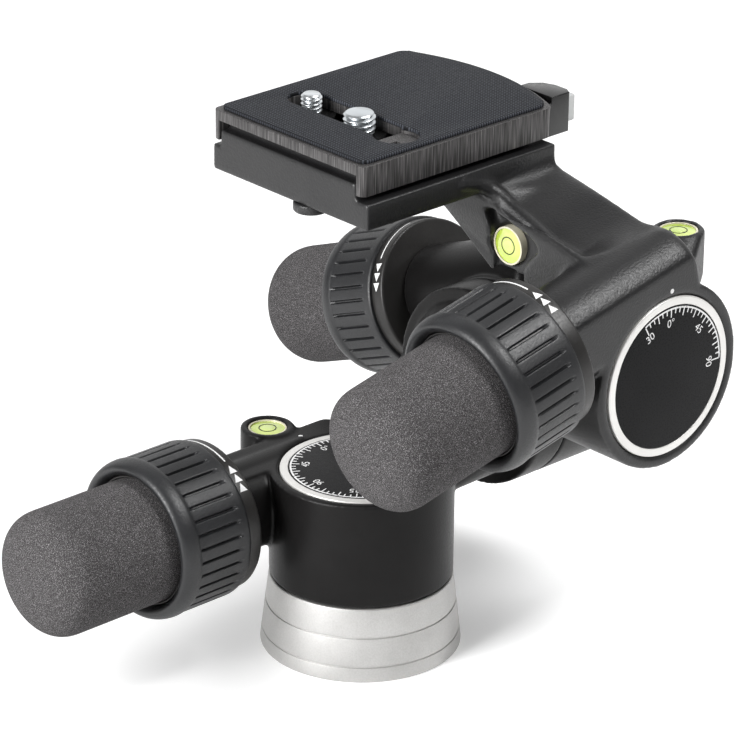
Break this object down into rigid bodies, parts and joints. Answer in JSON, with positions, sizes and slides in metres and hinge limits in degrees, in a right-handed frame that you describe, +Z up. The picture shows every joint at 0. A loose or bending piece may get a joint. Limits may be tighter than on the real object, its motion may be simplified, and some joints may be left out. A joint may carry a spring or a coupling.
{
  "type": "geared tripod head",
  "caption": "Geared tripod head: stacked worm-driven pan and tilt housings with foam knobs, bubble levels and a quick-release camera plate on a round threaded foot.",
  "frame": {"origin": "centre of the foot's flat underside, on the pan axis", "axes": "+Z up along the pan axis, +X along the side tilt axis towards its hidden scale, -Y along the top tilt axis towards its visible scale"},
  "size_m": [0.2022, 0.196, 0.1592],
  "materials": {
    "foot_metal": "fine bead-blasted",
    "black_casting": "cast, black powder coat",
    "bronze": "machined",
    "vial": "clear yellow-green",
    "foam": "dense speckled foam",
    "rubber": "matte moulded",
    "ring_metal": "satin",
    "scale_black": "satin black with white marks",
    "collar_plastic": "fine satin",
    "plate_black": "black, brushed sides",
    "lever_black": "glossy",
    "catch_grey": "light grey",
    "zinc": "bright zinc",
    "steel": "turned"
  },
  "bodies": {
    "base": {"foot": "foot_metal", "thread_insert": "steel", "pan_spindle": "steel", "pan_worm_wheel": "bronze", "pan_lock_nut": "steel", "pan_scale": "scale_black", "pan_scale_ring": "ring_metal"},
    "pan_body": {"pan_housing": "black_casting", "pan_bush": "bronze", "pan_worm_bushes": "bronze", "pan_collar_clip": "steel", "pan_level": "vial", "side_spindle": "steel", "side_worm_wheel": "bronze", "side_lock_nut": "steel", "side_scale": "scale_black", "side_scale_ring": "ring_metal"},
    "pan_knob": {"pan_worm": "steel", "pan_worm_shaft": "steel", "pan_knob_core": "collar_plastic", "pan_foam_grip": "foam"},
    "pan_collar_ring": {"pan_collar": "collar_plastic", "pan_collar_grip": "rubber"},
    "side_body": {"side_housing": "black_casting", "side_bush": "bronze", "side_worm_bushes": "bronze", "side_collar_clip": "steel", "top_spindle": "steel", "top_worm_wheel": "bronze", "top_lock_nut": "steel", "top_scale": "scale_black", "top_scale_ring": "ring_metal"},
    "side_knob": {"side_worm": "steel", "side_worm_shaft": "steel", "side_knob_core": "collar_plastic", "side_foam_grip": "foam"},
    "side_collar_ring": {"side_collar": "collar_plastic", "side_collar_grip": "rubber"},
    "top_body": {"top_housing": "black_casting", "top_bush": "bronze", "top_worm_bushes": "bronze", "top_collar_clip": "steel", "neck_level": "vial", "top_level": "vial", "platform_screw": "plate_black", "lever_pin": "steel"},
    "top_knob": {"top_worm": "steel", "top_worm_shaft": "steel", "top_knob_core": "collar_plastic", "top_foam_grip": "foam"},
    "top_collar_ring": {"top_collar": "collar_plastic", "top_collar_grip": "rubber"},
    "lever": {"clamp_lever": "lever_black"},
    "catch": {"lever_catch": "catch_grey"},
    "plate": {"camera_plate": "plate_black", "plate_pad": "rubber"},
    "small_washer_slider": {"small_washer": "plate_black"},
    "small_stud": {"small_screw": "zinc"},
    "large_washer_slider": {"large_washer": "plate_black"},
    "large_stud": {"large_screw": "zinc"}
  },
  "joints": [
    {"name": "pan", "type": "hinge", "parent": "base", "child": "pan_body", "pos_m": [0, 0, 0.0438], "axis": [0, 0, 1], "continuous": true},
    {"name": "pan_knob_turn", "type": "hinge", "parent": "pan_body", "child": "pan_knob", "pos_m": [0, 0.0245, 0.0438], "axis": [-1, 0, 0], "continuous": true},
    {"name": "pan_collar_twist", "type": "hinge", "parent": "pan_body", "child": "pan_collar_ring", "pos_m": [0, 0.0245, 0.0438], "axis": [-1, 0, 0], "range_deg": [0, 40], "stiffness_Nm_per_rad": 0.3},
    {"name": "side_tilt", "type": "hinge", "parent": "pan_body", "child": "side_body", "pos_m": [0.072, 0, 0.0685], "axis": [1, 0, 0], "range_deg": [-70, 30]},
    {"name": "side_knob_turn", "type": "hinge", "parent": "side_body", "child": "side_knob", "pos_m": [0.072, 0.00898, 0.0913], "axis": [0, 0.9304, -0.3665], "continuous": true},
    {"name": "side_collar_twist", "type": "hinge", "parent": "side_body", "child": "side_collar_ring", "pos_m": [0.072, 0.00898, 0.0913], "axis": [0, 0.9304, -0.3665], "range_deg": [0, 40], "stiffness_Nm_per_rad": 0.3},
    {"name": "top_tilt", "type": "hinge", "parent": "side_body", "child": "top_body", "pos_m": [0.0523, -0.06, 0.0932], "axis": [0, -1, 0], "range_deg": [-90, 30]},
    {"name": "top_knob_turn", "type": "hinge", "parent": "top_body", "child": "top_knob", "pos_m": [0.04721, -0.06, 0.11716], "axis": [-0.9781, 0, -0.2079], "continuous": true},
    {"name": "top_collar_twist", "type": "hinge", "parent": "top_body", "child": "top_collar_ring", "pos_m": [0.04721, -0.06, 0.11716], "axis": [-0.9781, 0, -0.2079], "range_deg": [0, 40], "stiffness_Nm_per_rad": 0.3},
    {"name": "lever_swing", "type": "hinge", "parent": "top_body", "child": "lever", "pos_m": [0.0687, 0.028, 0.1476], "axis": [0, 0, 1], "range_deg": [0, 60], "stiffness_Nm_per_rad": 0.1},
    {"name": "catch_press", "type": "slide", "parent": "lever", "child": "catch", "axis": [-1, 0, 0], "range_m": [0, 0.0015], "stiffness_N_per_m": 400},
    {"name": "plate_lift", "type": "slide", "parent": "top_body", "child": "plate", "axis": [0, 0, 1], "range_m": [0, 0.015]},
    {"name": "small_screw_slide", "type": "slide", "parent": "plate", "child": "small_washer_slider", "axis": [0, 1, 0], "range_m": [-0.0022, 0.0024]},
    {"name": "small_screw_turn", "type": "hinge", "parent": "small_washer_slider", "child": "small_stud", "pos_m": [0.0119, 0.036, 0.156], "axis": [0, 0, 1], "continuous": true},
    {"name": "large_screw_slide", "type": "slide", "parent": "plate", "child": "large_washer_slider", "axis": [0, 1, 0], "range_m": [-0.006, 0.0022]},
    {"name": "large_screw_turn", "type": "hinge", "parent": "large_washer_slider", "child": "large_stud", "pos_m": [0.0119, 0.0154, 0.156], "axis": [0, 0, 1], "continuous": true}
  ],
  "couplings": [
    {"joint": "pan_knob_turn", "follows": "pan", "ratio": 48},
    {"joint": "side_knob_turn", "follows": "side_tilt", "ratio": 48},
    {"joint": "top_knob_turn", "follows": "top_tilt", "ratio": 48}
  ]
}
